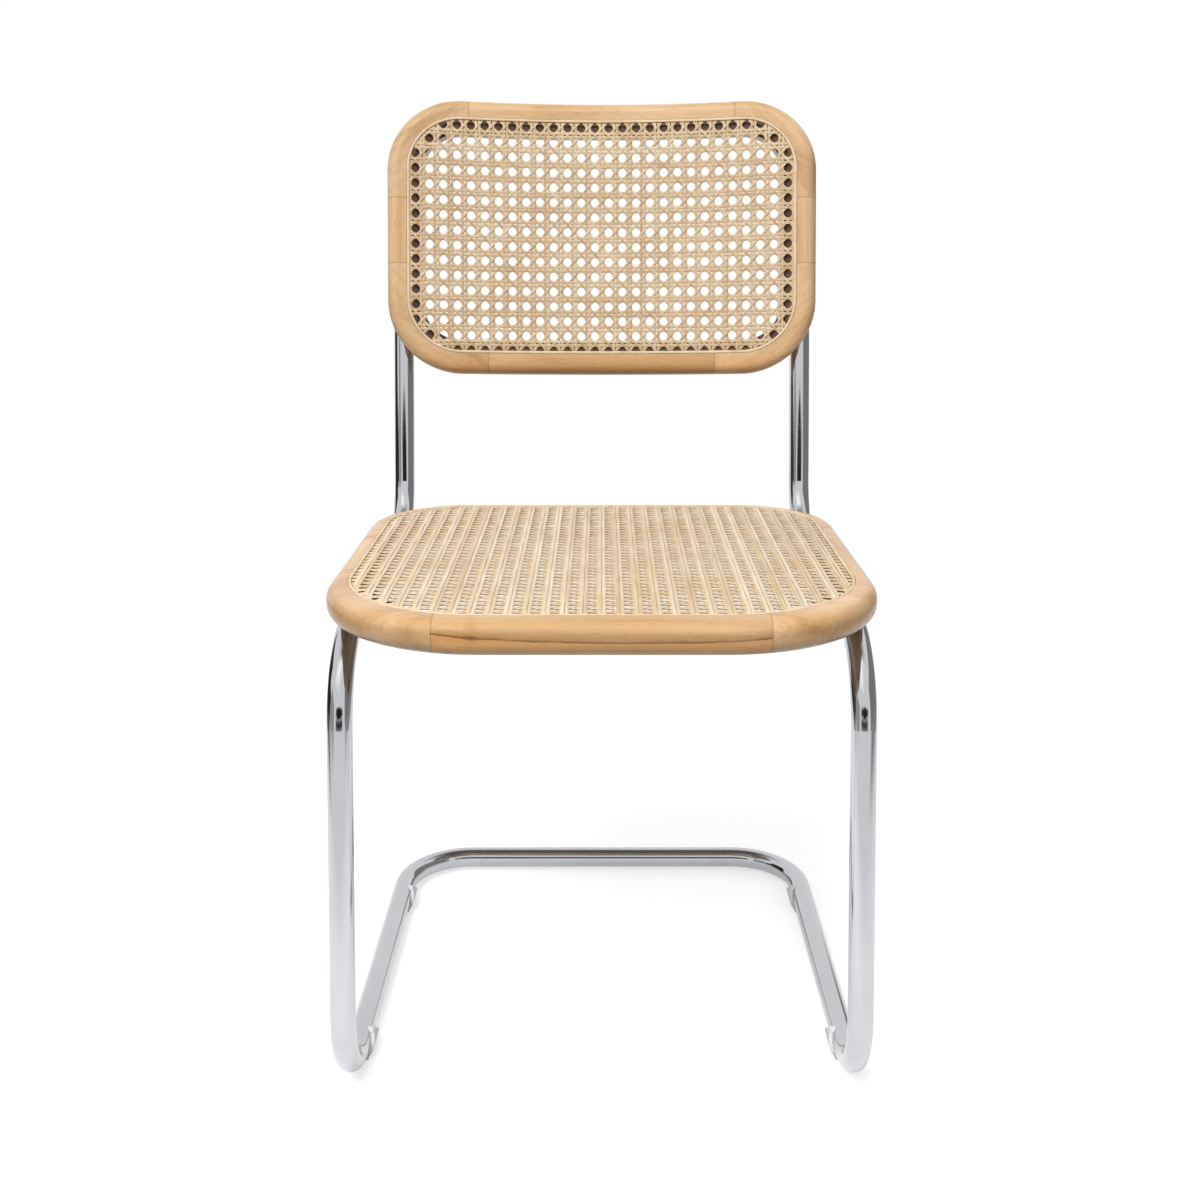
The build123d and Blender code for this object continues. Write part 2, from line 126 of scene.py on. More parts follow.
# Dark vein along the front rail: its height in the middle, its slope and curve, how far and how often it
# wavers, how often it fades, the width of the wood beside it, and the place, length and swell of its knot
VEIN_HEIGHT = 419.5 * MM
VEIN_SLOPE = -0.0128
VEIN_CURVE = 0.237
VEIN_WAVER = 2.4 * MM
VEIN_WAVER_SCALE = 30
VEIN_FADE_SCALE = 22
VEIN_BAND = 16 * MM
VEIN_KNOT = -103 * MM
VEIN_KNOT_LENGTH = 10 * MM
VEIN_KNOT_SWELL = 1.2

# Wood joints
SEAT_CROSS_JOINT = 135 * MM
SEAT_SIDE_JOINTS = (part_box("seat_left_rail")[0].y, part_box("seat_left_rail")[1].y)
BACK_TOP_JOINT = 146 * MM
BACK_BOTTOM_JOINT = 125 * MM
BACK_SIDE_JOINTS = (119 * MM, 190 * MM)

# Camera, from a fit to the photograph
PHOTO_SIDE = 1200
FOCAL_PIXELS = 1385
OPTICAL_ROW = 500
OPTICAL_COLUMN = 601.8
CAMERA_PLACE = (0, -1327.3 * MM, 752.4 * MM)
CAMERA_PITCH = radians(11.85)
SENSOR_WIDTH = 36


# Node helpers


def add_node(tree, kind, inputs=None, **settings):
    """New node with settings, and values or links on its inputs."""
    new = tree.nodes.new(kind)
    for name, value in settings.items():
        setattr(new, name, value)
    for key, value in (inputs or {}).items():
        if isinstance(value, bpy.types.NodeSocket):
            tree.links.new(value, new.inputs[key])
        else:
            new.inputs[key].default_value = value
    return new


def math_node(tree, operation, *values):
    """Output of one Math node."""
    return add_node(tree, "ShaderNodeMath", dict(enumerate(values)), operation=operation).outputs[0]


def noise(tree, vector, scale, detail=3.0, roughness=0.55, distortion=0.0):
    """Noise value in the range 0 to 1."""
    inputs = {"Vector": vector, "Scale": scale, "Detail": detail, "Roughness": roughness}
    inputs["Distortion"] = distortion
    return add_node(tree, "ShaderNodeTexNoise", inputs).outputs[0]


def ramp(tree, value, stops):
    """Colour ramp: stops are (position, colour), or (position, grey)."""
    new = add_node(tree, "ShaderNodeValToRGB", {"Fac": value})
    elements = new.color_ramp.elements
    while len(elements) < len(stops):
        elements.new(0.5)
    for element, (position, colour) in zip(elements, stops):
        element.position = position
        rgb = (colour,) * 3 if isinstance(colour, (int, float)) else colour
        element.color = (*rgb, 1)
    return new.outputs[0]


def mix_colour(tree, factor, first, second, blend="MIX"):
    """Mix of two colours."""
    new = add_node(tree, "ShaderNodeMix", data_type="RGBA", blend_type=blend)
    for socket, value in ((new.inputs[0], factor), (new.inputs[6], first), (new.inputs[7], second)):
        if isinstance(value, bpy.types.NodeSocket):
            tree.links.new(value, socket)
        elif isinstance(value, (int, float)):
            socket.default_value = value
        else:
            socket.default_value = (*value, 1)
    return new.outputs[2]


def new_material(name):
    """Material with its node tree and its surface shader."""
    material = bpy.data.materials.new(name)
    material.use_nodes = True
    return material, material.node_tree, material.node_tree.nodes["Principled BSDF"]


def along_axes(tree, axes, scales, offset=None):
    """The object's own coordinates along three axes, each with its scale, and moved by an offset."""
    place = add_node(tree, "ShaderNodeTexCoord").outputs["Object"]
    parts = []
    for axis, scale in zip(axes, scales):
        inputs = {0: place, 1: tuple(Vector(axis) * scale)}
        dot = add_node(tree, "ShaderNodeVectorMath", inputs, operation="DOT_PRODUCT")
        parts.append(dot.outputs["Value"])
    vector = add_node(tree, "ShaderNodeCombineXYZ", dict(enumerate(parts))).outputs[0]
    if offset is None:
        return vector
    return add_node(tree, "ShaderNodeVectorMath", {0: vector, 1: offset}).outputs[0]


def distance_along(tree, direction):
    """How far a point of the object lies along a direction."""
    inputs = {0: add_node(tree, "ShaderNodeTexCoord").outputs["Object"], 1: tuple(direction)}
    return add_node(tree, "ShaderNodeVectorMath", inputs, operation="DOT_PRODUCT").outputs["Value"]


def srgb(red, green, blue):
    """Linear colour of a colour written as 0 to 255."""
    return tuple(((c / 255 + 0.055) / 1.055) ** 2.4 for c in (red, green, blue))


# Materials


# Light, middle and dark colour of the seat's and the back's wood
SEAT_WOOD = ((232, 191, 143), (219, 173, 118), (191, 141, 84))
BACK_WOOD = ((230, 194, 151), (218, 178, 130), (191, 146, 94))

# Wood grain: scales along it and across it of its broad figure, fine lines, flecks and dark bands
FIGURE_SCALE = (2.2, 24, 24)
LINE_SCALE = (7, 240, 240)
FLECK_SCALE = (110, 900, 900)
BAND_SCALE = (1.6, 60, 60)

# Painted shade: dark wood for the rebate under the cane, and wood painted darker towards the backrest's
# lower rim
# Painted shade: colours of the dark wood on the ledge and lip under the cane's edge
REBATE_PAINTED_SHADE_WOOD = ((112, 70, 36), (98, 58, 28), (78, 44, 20))
RIM_SHADE_DEPTH = 26 * MM
RIM_SHADE_STOPS = (
    (0.0, (0.66, 0.50, 0.36)),
    (0.35, (0.90, 0.80, 0.66)),
    (0.75, (0.98, 0.93, 0.86)),
    (1.0, 1.0),
)

# Light, middle and dark colour of the cane's bark, the colour of its core, which is partly painted shade
# for the dark gaps between strands, and the darkest tone of a strand
BARK_COLOURS = ((246, 231, 206), (239, 219, 188), (226, 202, 166))
CORE_AND_SHADE_COLOUR = (178, 141, 98)
DARKEST_STRAND = (232, 222, 208)

# Cane: scales along a strand, across it and through it of its streaks and its patches
STREAK_SCALE = (30, 1500, 300)
PATCH_SCALE = (14, 60, 60)


def front_vein(tree, colour):
    """Colour with a dark vein along the front rail, with a knot in it, darker wood above it, and wood
    painted lighter below it as painted light against the shade of the rail's lower face.
    """
    place = add_node(tree, "ShaderNodeTexCoord").outputs["Object"]
    x, _, z = add_node(tree, "ShaderNodeSeparateXYZ", {0: place}).outputs
    rise = math_node(tree, "MULTIPLY_ADD", x, VEIN_CURVE, VEIN_SLOPE)
    height = math_node(tree, "MULTIPLY_ADD", rise, x, VEIN_HEIGHT)
    along = add_node(tree, "ShaderNodeCombineXYZ", {0: x}).outputs[0]
    wave = noise(tree, along, VEIN_WAVER_SCALE, 3.0, 0.6)
    waver = math_node(tree, "MULTIPLY_ADD", wave, VEIN_WAVER, -VEIN_WAVER / 2)
    above = math_node(tree, "SUBTRACT", math_node(tree, "SUBTRACT", z, height), waver)
    to_knot = math_node(tree, "ABSOLUTE", math_node(tree, "SUBTRACT", x, VEIN_KNOT))
    knot = ramp(tree, math_node(tree, "MULTIPLY", to_knot, 1 / VEIN_KNOT_LENGTH), ((0.0, 1.0), (0.8, 0.0)))
    narrow = math_node(tree, "DIVIDE", above, math_node(tree, "MULTIPLY_ADD", knot, VEIN_KNOT_SWELL, 1.0))
    across = math_node(tree, "MULTIPLY_ADD", narrow, 1 / VEIN_BAND, 0.5)
    line = (0.44, 0.30, 0.17)
    # Below the vein the wood is painted lighter, as painted light against the shade of the rail's lower
    # face; above it the wood is darker
    vein_and_painted_light = (
        (0.0, (1.30, 1.12, 0.82)),
        (0.43, (1.15, 0.98, 0.70)),
        (0.475, line),
        (0.525, line),
        (0.57, (0.82, 0.72, 0.58)),
        (0.78, (0.91, 0.86, 0.78)),
        (1.0, (1.0, 1.0, 1.0)),
    )
    strong = ramp(tree, noise(tree, along, VEIN_FADE_SCALE, 3.0, 0.6), ((0.36, 0.6), (0.56, 1.0)))
    return mix_colour(tree, strong, colour, ramp(tree, across, vein_and_painted_light), "MULTIPLY")


def wood(name, grain, face, colours, tone=1.0, shift=0.0, seams=(), streak=0.0, vein=False, rim_shade=None):
    """Lacquered beech. Grain runs along one direction, and seams darken the wood at its joints.

    Seams and the rim are each a direction and a distance along it. The wood is painted darkest at the rim,
    as painted shade.
    """
    material, tree, shader = new_material(name)
    grain = Vector(grain).normalized()
    across = grain.cross(Vector(face)).normalized()
    axes = (grain, across, grain.cross(across))
    offset = (shift, 3.1 * shift, 1.7 * shift)
    figure = noise(tree, along_axes(tree, axes, FIGURE_SCALE, offset), 1.0, 4.0, 0.55, 0.4)
    lines = noise(tree, along_axes(tree, axes, LINE_SCALE, offset), 1.0, 3.0, 0.6)
    flecks = noise(tree, along_axes(tree, axes, FLECK_SCALE, offset), 1.0, 1.0, 0.5)
    light, middle, dark = (tuple(c * tone for c in srgb(*rgb)) for rgb in colours)
    colour = ramp(tree, figure, ((0.28, dark), (0.47, middle), (0.66, light)))
    colour = mix_colour(tree, 0.30, colour, ramp(tree, lines, ((0.3, 0.55), (0.62, 1.0))), "MULTIPLY")
    colour = mix_colour(tree, 0.35, colour, ramp(tree, flecks, ((0.30, 0.45), (0.38, 1.0))), "MULTIPLY")
    if streak:
        bands = noise(tree, along_axes(tree, axes, BAND_SCALE, offset), 1.0, 5.0, 0.7, 0.8)
        dark_bands = ramp(tree, bands, ((0.34, 0.42), (0.42, 1.0)))
        colour = mix_colour(tree, streak, colour, dark_bands, "MULTIPLY")
    if vein:
        colour = front_vein(tree, colour)
    # Painted shade: the wood is painted darker towards the rim
    if rim_shade:
        direction, distance = rim_shade
        value = distance_along(tree, direction)
        beyond = math_node(tree, "MULTIPLY_ADD", value, 1 / RIM_SHADE_DEPTH, -distance / RIM_SHADE_DEPTH)
        colour = mix_colour(tree, 1.0, colour, ramp(tree, beyond, RIM_SHADE_STOPS), "MULTIPLY")
    for direction, distance in seams:
        value = distance_along(tree, direction)
        near = math_node(tree, "ABSOLUTE", math_node(tree, "SUBTRACT", value, distance))
        line = ramp(tree, math_node(tree, "MULTIPLY", near, 1 / MM), ((0.15, 0.4), (0.8, 1.0)))
        colour = mix_colour(tree, 0.6, colour, line, "MULTIPLY")
    tree.links.new(colour, shader.inputs["Base Color"])
    rough = ramp(tree, lines, ((0.3, 0.38), (0.7, 0.30)))
    tree.links.new(rough, shader.inputs["Roughness"])
    bump = add_node(tree, "ShaderNodeBump", {"Strength": 0.06, "Distance": 0.4 * MM, "Height": lines})
    tree.links.new(bump.outputs[0], shader.inputs["Normal"])
    shader.inputs["Coat Weight"].default_value = 0.3
    shader.inputs["Coat Roughness"].default_value = 0.2
    return material


def cane(name, along, face, tone):
    """Natural cane: pale streaked bark on a browner core, partly painted shade for the gaps between
    strands, and each strand has a tone of its own.
    """
    material, tree, shader = new_material(name)
    along = Vector(along).normalized()
    across = along.cross(Vector(face)).normalized()
    axes = (along, across, Vector(face))
    streaks = noise(tree, along_axes(tree, axes, STREAK_SCALE), 1.0, 2.0, 0.6)
    patches = noise(tree, along_axes(tree, axes, PATCH_SCALE), 1.0, 3.0, 0.6)
    shade = add_node(tree, "ShaderNodeAttribute", attribute_name="strand_tone").outputs["Fac"]
    light, middle, dark = (tuple(c * t for c, t in zip(srgb(*rgb), tone)) for rgb in BARK_COLOURS)
    colour = ramp(tree, patches, ((0.3, dark), (0.5, middle), (0.7, light)))
    colour = mix_colour(tree, 0.35, colour, ramp(tree, streaks, ((0.3, 0.6), (0.65, 1.0))), "MULTIPLY")
    shades = ramp(tree, shade, ((0.0, srgb(*DARKEST_STRAND)), (1.0, 1.0)))
    colour = mix_colour(tree, 1.0, colour, shades, "MULTIPLY")
    # A strand's back and lower sides take the core colour: partly the cane's browner core and partly
    # painted shade
    bark = add_node(tree, "ShaderNodeAttribute", attribute_name="bark").outputs["Fac"]
    colour = mix_colour(tree, bark, srgb(*CORE_AND_SHADE_COLOUR), colour)
    tree.links.new(colour, shader.inputs["Base Color"])
    rough = ramp(tree, streaks, ((0.3, 0.48), (0.7, 0.36)))
    tree.links.new(rough, shader.inputs["Roughness"])
    return material


def reed(name):
    """Round reed: pale, with a soft grain."""
    material, tree, shader = new_material(name)
    place = add_node(tree, "ShaderNodeTexCoord").outputs["Object"]
    patches = noise(tree, place, 45, 3.0, 0.6)
    fine = noise(tree, place, 900, 2.0, 0.6)
    colour = ramp(tree, patches, ((0.3, srgb(226, 198, 160)), (0.7, srgb(242, 222, 192))))
    colour = mix_colour(tree, 0.25, colour, ramp(tree, fine, ((0.3, 0.6), (0.6, 1.0))), "MULTIPLY")
    tree.links.new(colour, shader.inputs["Base Color"])
    tree.links.new(ramp(tree, fine, ((0.3, 0.6), (0.7, 0.45))), shader.inputs["Roughness"])
    return material


def metal(name, first, second, rough_low, rough_high, scale):
    """Metal with a faint change of colour and polish over its surface."""
    material, tree, shader = new_material(name)
    place = add_node(tree, "ShaderNodeTexCoord").outputs["Object"]
    cloud = noise(tree, place, scale, 3.0, 0.6)
    tree.links.new(ramp(tree, cloud, ((0.35, first), (0.65, second))), shader.inputs["Base Color"])
    tree.links.new(ramp(tree, cloud, ((0.3, rough_low), (0.7, rough_high))), shader.inputs["Roughness"])
    shader.inputs["Metallic"].default_value = 1.0
    return material


def plastic(name, first, second, roughness):
    """Moulded plastic, with faint clouding."""
    material, tree, shader = new_material(name)
    place = add_node(tree, "ShaderNodeTexCoord").outputs["Object"]
    cloud = noise(tree, place, 120, 3.0, 0.6)
    tree.links.new(ramp(tree, cloud, ((0.35, first), (0.65, second))), shader.inputs["Base Color"])
    rough = ramp(tree, cloud, ((0.3, roughness), (0.7, roughness + 0.12)))
    tree.links.new(rough, shader.inputs["Roughness"])
    shader.inputs["IOR"].default_value = 1.49
    return material


def dress(node, material):
    """Give a CAD node its material."""
    data = nodes[node].data
    data.materials.clear()
    data.materials.append(material)


chrome = metal("chrome", (0.53, 0.54, 0.56), (0.56, 0.57, 0.59), 0.06, 0.10, 18)
steel = metal("zinc_plated_steel", (0.46, 0.46, 0.47), (0.56, 0.56, 0.57), 0.28, 0.4, 160)
clear_plastic = plastic("clear_plastic", (0.93, 0.93, 0.95), (0.97, 0.97, 0.98), 0.4)
plug_plastic = plastic("plug_plastic", (0.030, 0.030, 0.031), (0.042, 0.042, 0.043), 0.42)
reed_material = reed("reed")

for node in ("left_side_tube", "right_side_tube", "rear_cross_tube"):
    dress(node, chrome)
for node in ("left_tube_cap", "right_tube_cap"):
    dress(node, plug_plastic)
for node in ("left_joint_sleeve", "right_joint_sleeve", "seat_screws", "back_screws"):
    dress(node, steel)
for end in ("front", "rear"):
    for side in ("left", "right"):
        dress(f"{end}_{side}_glide", clear_plastic)
for node in ("seat_spline", "back_spline"):
    dress(node, reed_material)

X_AXIS = Vector((1, 0, 0))
Y_AXIS = Vector((0, 1, 0))
Z_AXIS = Vector((0, 0, 1))

# Foot of the backrest, midway between the upright axes, from the cane's rear and lowest points
back_cane_low, back_cane_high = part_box("back_cane")
back_cane_depth = BACK_BOW_RADIUS + LIP_DROP - BOW_CENTRE
BACK_FOOT = Vector(
    (
        0,
        back_cane_high.y - UP_THE_BACK.y * BACK_CANE_TOP + OUT_OF_BACK.y * back_cane_depth,
        back_cane_low.z - UP_THE_BACK.z * BACK_CANE_BOTTOM + OUT_OF_BACK.z * back_cane_depth,
    )
)

seat_seams = [(X_AXIS, SEAT_CROSS_JOINT), (X_AXIS, -SEAT_CROSS_JOINT)]
seat_seams += [(Y_AXIS, place) for place in SEAT_SIDE_JOINTS]
back_base = BACK_FOOT.dot(UP_THE_BACK)
back_side_seams = [(UP_THE_BACK, back_base + height) for height in BACK_SIDE_JOINTS]
back_top_seams = [(X_AXIS, BACK_TOP_JOINT), (X_AXIS, -BACK_TOP_JOINT), back_side_seams[1]]
back_bottom_seams = [(X_AXIS, BACK_BOTTOM_JOINT), (X_AXIS, -BACK_BOTTOM_JOINT), back_side_seams[0]]

# Grain of the corners runs askew
SEAT_SLANT = 0.35
BACK_SLANT = 0.8
slant = X_AXIS + Y_AXIS * SEAT_SLANT
mirrored_slant = X_AXIS - Y_AXIS * SEAT_SLANT
back_slant = X_AXIS + UP_THE_BACK * BACK_SLANT
back_mirrored_slant = X_AXIS - UP_THE_BACK * BACK_SLANT

# Each piece of wood: its grain, the way that it faces, tone, shift of the grain, seams, dark bands, vein
wood_pieces = {
    "seat_front_rail": (X_AXIS, Z_AXIS, 0.95, 0.0, seat_seams, 0.0, True),
    "seat_rear_rail": (X_AXIS, Z_AXIS, 1.0, 7.3, seat_seams, 0.2),
    "seat_left_rail": (Y_AXIS, Z_AXIS, 1.0, 2.9, seat_seams, 0.0),
    "seat_right_rail": (Y_AXIS, Z_AXIS, 1.0, 5.1, seat_seams, 0.0),
    "seat_front_left_corner": (slant, Z_AXIS, 0.94, 1.2, seat_seams, 0.0),
    "seat_front_right_corner": (mirrored_slant, Z_AXIS, 1.06, 3.6, seat_seams, 0.0),
    "seat_rear_left_corner": (mirrored_slant, Z_AXIS, 1.0, 4.4, seat_seams, 0.0),
    "seat_rear_right_corner": (slant, Z_AXIS, 1.0, 6.2, seat_seams, 0.0),
    "back_top_rail": (X_AXIS, OUT_OF_BACK, 1.02, 8.5, back_top_seams, 0.0),
    "back_bottom_rail": (X_AXIS, OUT_OF_BACK, 0.98, 9.4, back_bottom_seams, 0.25),
    "back_left_rail": (UP_THE_BACK, OUT_OF_BACK, 1.05, 10.7, back_side_seams, 0.0),
    "back_right_rail": (UP_THE_BACK, OUT_OF_BACK, 1.02, 11.9, back_side_seams, 0.0),
    "back_top_left_corner": (back_slant, OUT_OF_BACK, 0.94, 12.3, back_top_seams, 0.0),
    "back_top_right_corner": (back_mirrored_slant, OUT_OF_BACK, 0.99, 13.8, back_top_seams, 0.0),
    "back_bottom_left_corner": (back_mirrored_slant, OUT_OF_BACK, 0.99, 14.1, back_bottom_seams, 0.0),
    "back_bottom_right_corner": (back_slant, OUT_OF_BACK, 1.05, 15.6, back_bottom_seams, 0.1),
}
for node, settings in wood_pieces.items():
    grain, face, *others = settings
    colours = SEAT_WOOD if node.startswith("seat") else BACK_WOOD
    # The backrest's bottom pieces take painted shade towards their lower rim
    rim_shade = (UP_THE_BACK, back_base) if node.startswith("back_bottom") else None
    dress(node, wood(f"beech_{node}", grain, face, colours, *others, rim_shade=rim_shade))
dowel_wood = wood("beech_dowels", X_AXIS, Z_AXIS, SEAT_WOOD)
for node in ("seat_dowels", "back_dowels"):
    dress(node, dowel_wood)


# Cane weave: pairs of strands both ways, and two sets of diagonals that pass between the pairs' crossings


def round_box_distance(u, v, centre, half, low_corner, high_corner):
    """Distance to a rounded outline, negative inside. Each end has its own corner radius."""
    x = abs(u - centre[0])
    y = v - centre[1]
    corner = low_corner if y < 0 else high_corner
    qx = x - half[0] + corner
    qy = abs(y) - half[1] + corner
    return sqrt(max(qx, 0) ** 2 + max(qy, 0) ** 2) + min(max(qx, qy), 0) - corner


EDGE_SAMPLES = 400
EDGE_HALVINGS = 18


def strand_ends(start, step, reach, outline):
    """Where a line through start leaves an outline, as two distances along it, or None."""
    samples = np.linspace(-reach, reach, EDGE_SAMPLES)
    inside = [t for t in samples if outline(start[0] + t * step[0], start[1] + t * step[1]) < 0]
    if len(inside) < 3:
        return None
    ends = []
    spacing = samples[1] - samples[0]
    for last, way in ((inside[0], -1), (inside[-1], 1)):
        near, far = last, last + way * spacing
        for _ in range(EDGE_HALVINGS):
            middle = (near + far) / 2
            if outline(start[0] + middle * step[0], start[1] + middle * step[1]) < 0:
                near = middle
            else:
                far = middle
        ends.append(near)
    return ends


# Points of a strand's section that are bark: all but the two of its back
BARK = (0, 0, 1, 1, 1, 1, 1)


def strand_profile(width, thickness):
    """Section of a strand: a flat back, and a crowned face with the bark on it."""
    half = width / 2
    return np.array(
        [
            (-half, -0.5 * thickness),
            (half, -0.5 * thickness),
            (half, 0.25 * thickness),
            (0.55 * half, 0.45 * thickness),
            (0, 0.5 * thickness),
            (-0.55 * half, 0.45 * thickness),
            (-half, 0.25 * thickness),
        ]
    )


def strands_object(name, strands, profile, surface, material, random):
    """One mesh of strands, each with its start, its direction and its stations as (distance, height)."""
    count = len(profile)
    points, faces, tones, barks = [], [], [], []
    base = 0
    for start, step, stations in strands:
        t, height = np.array(stations).T
        phase, wave = random.uniform(0, 2 * pi), random.uniform(*DRIFT_WAVES)
        drift = STRAND_DRIFT * np.sin(2 * pi * t / wave + phase)
        a = profile[None, :, 0] + drift[:, None]
        u = start[0] + t[:, None] * step[0] - a * step[1]
        v = start[1] + t[:, None] * step[1] + a * step[0]
        h = height[:, None] + profile[None, :, 1]
        points.append(surface(u, v, h).reshape(-1, 3))
        tones.append(np.full(u.size, random.uniform(0, 1)))
        barks.append(np.tile(BARK, len(t)))
        rings = len(t)
        for ring in range(rings - 1):
            here = base + ring * count
            for k in range(count):
                after = (k + 1) % count
                faces.append((here + k, here + count + k, here + count + after, here + after))
        faces.append(tuple(base + k for k in range(count)))
        faces.append(tuple(base + (rings - 1) * count + k for k in reversed(range(count))))
        base += rings * count
    mesh = bpy.data.meshes.new(name)
    mesh.from_pydata(np.concatenate(points).tolist(), [], faces)
    for attribute, values in (("strand_tone", tones), ("bark", barks)):
        mesh.attributes.new(attribute, "FLOAT", "POINT").data.foreach_set("value", np.concatenate(values))
    mesh.polygons.foreach_set("use_smooth", [True] * len(mesh.polygons))
    mesh.materials.append(material)
    made = bpy.data.objects.new(name, mesh)
    bpy.context.scene.collection.objects.link(made)
    return made


def stations(ends, marks, height, start, step, outline, tuck):
    """Stations of a strand between its ends. Near the edge the strand sinks to the lip."""
    near_ends = (0.0, 0.25 * TUCK, 0.5 * TUCK, 0.75 * TUCK, TUCK)
    places = [t for t in marks if ends[0] + TUCK < t < ends[1] - TUCK]
    places += [ends[0] + d for d in near_ends] + [ends[1] - d for d in near_ends]
    found = []
    for t in sorted(places):
        inside = -outline(start[0] + t * step[0], start[1] + t * step[1])
        share = min(1, max(0, inside / TUCK))
        share = share * share * (3 - 2 * share)
        found.append((t, share * height(t) + (1 - share) * tuck))
    return found


def pair_wave(distance, half_gap, sign):
    """Height of a strand of a pair as it crosses another pair: over one strand and under the other."""
    if abs(distance) > 2 * half_gap:
        return 0.0
    return sign * sin(pi * distance / (2 * half_gap))


def weave(name, node, surface, outline, spec, origin, half, axes, seed):
    """Four meshes of cane strands for one panel. Pairs cross at the origin and at each pitch from it."""
    random = np.random.default_rng(seed)
    pitch, half_gap, sections, levels, lowest, tone = spec
    across, up, face = axes
    reach = half[0] + half[1]
    tuck = -lowest * LAYER
    counts = [int(size / step) + 2 for size, step in zip(half, pitch)]
    sets = {"lengthwise": [], "crosswise": [], "rising": [], "falling": []}
    for kind, way in (("lengthwise", 0), ("crosswise", 1)):
        other = 1 - way
        step = (0, 1) if way == 0 else (1, 0)
        marks = []
        for k in range(-2 * counts[other], 2 * counts[other] + 1):
            marks += [k * pitch[other] + d * half_gap[other] for d in (-2, -1, 0, 1, 2)]
            marks.append((k + 0.5) * pitch[other])
        for side in (-1, 1):
            for i in range(-counts[way], counts[way] + 1):
                place = i * pitch[way] + side * half_gap[way]
                start = (place, origin) if way == 0 else (0, origin + place)
                ends = strand_ends(start, step, reach, outline)
                if not ends or ends[1] - ends[0] < SHORTEST_STRAND:
                    continue
                sign = side if way == 0 else -side

                def height(t):
                    offset = (t + pitch[other] / 2) % pitch[other] - pitch[other] / 2
                    wave = levels["wave"] * pair_wave(offset, half_gap[other], sign)
                    return LAYER * (levels[kind] + wave)

                places = stations(ends, marks, height, start, step, outline, tuck)
                sets[kind].append((start, step, places))
    length = sqrt(pitch[0] ** 2 + pitch[1] ** 2)
    for kind, way in (("rising", 1), ("falling", -1)):
        step = (pitch[0] / length, way * pitch[1] / length)
        at_lengthwise, at_crosswise = levels[kind]
        for k in range(-2 * sum(counts), 2 * sum(counts)):
            start = ((k + 0.5) * pitch[0], origin)
            ends = strand_ends(start, step, 2 * reach, outline)
            if not ends or ends[1] - ends[0] < SHORTEST_STRAND:
                continue

            def height(t):
                wave = cos(2 * pi * (start[0] + t * step[0]) / pitch[0])
                share = 0.5 + 0.5 * np.tanh(DIAGONAL_SHARPNESS * wave) / np.tanh(DIAGONAL_SHARPNESS)
                return LAYER * (at_crosswise + share * (at_lengthwise - at_crosswise))

            marks = np.arange(ends[0], ends[1], length / DIAGONAL_STATIONS)
            places = stations(ends, marks, height, start, step, outline, tuck)
            sets[kind].append((start, step, places))
    directions = {
        "lengthwise": up,
        "crosswise": across,
        "rising": across * pitch[0] + up * pitch[1],
        "falling": across * pitch[0] - up * pitch[1],
    }
    made = []
    for kind, strands in sets.items():
        profile = strand_profile(*sections[kind])
        material = cane(f"cane_{name}_{kind}", directions[kind], face, tone)
        made.append(strands_object(f"{name}_cane_{kind}", strands, profile, surface, material, random))
    for piece in made:
        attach(piece, "root")
    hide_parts(node)


seat_cane_middle = SEAT_CANE_LOW.z + SEAT_LOWEST * LAYER + STRAND_THICKNESS / 2
seat_cane_centre = ((SEAT_CANE_LOW.x + SEAT_CANE_HIGH.x) / 2, (SEAT_CANE_LOW.y + SEAT_CANE_HIGH.y) / 2)
seat_cane_half = ((SEAT_CANE_HIGH.x - SEAT_CANE_LOW.x) / 2, (SEAT_CANE_HIGH.y - SEAT_CANE_LOW.y) / 2)


def seat_surface(u, v, h):
    """Points of the seat's weave."""
    return np.stack([u, v, seat_cane_middle + h], axis=-1)


def seat_outline(u, v):
    """Edge of the seat's weave."""
    return round_box_distance(
        u, v, seat_cane_centre, seat_cane_half, SEAT_FRONT_CANE_CORNER, SEAT_REAR_CANE_CORNER
    )


back_cane_middle = BACK_BOW_RADIUS + LIP_DROP - BACK_LOWEST * LAYER - STRAND_THICKNESS / 2
back_cane_centre = (0, (BACK_CANE_BOTTOM + BACK_CANE_TOP) / 2)
back_cane_half = (BACK_CANE_HALF_WIDTH, (BACK_CANE_TOP - BACK_CANE_BOTTOM) / 2)


def back_surface(u, v, h):
    """Points of the back's weave, which follows the bow: u runs along it and v up the lean."""
    angle = u / back_cane_middle
    radius = back_cane_middle - h
    x = radius * np.sin(angle)
    depth = radius * np.cos(angle) - BOW_CENTRE
    y = BACK_FOOT.y + UP_THE_BACK.y * v - OUT_OF_BACK.y * depth
    z = BACK_FOOT.z + UP_THE_BACK.z * v - OUT_OF_BACK.z * depth
    return np.stack([x, y, z], axis=-1)


def back_outline(u, v):
    """Edge of the back's weave."""
    x = back_cane_middle * sin(u / back_cane_middle)
    return round_box_distance(x, v, back_cane_centre, back_cane_half, BACK_CANE_CORNER, BACK_CANE_CORNER)


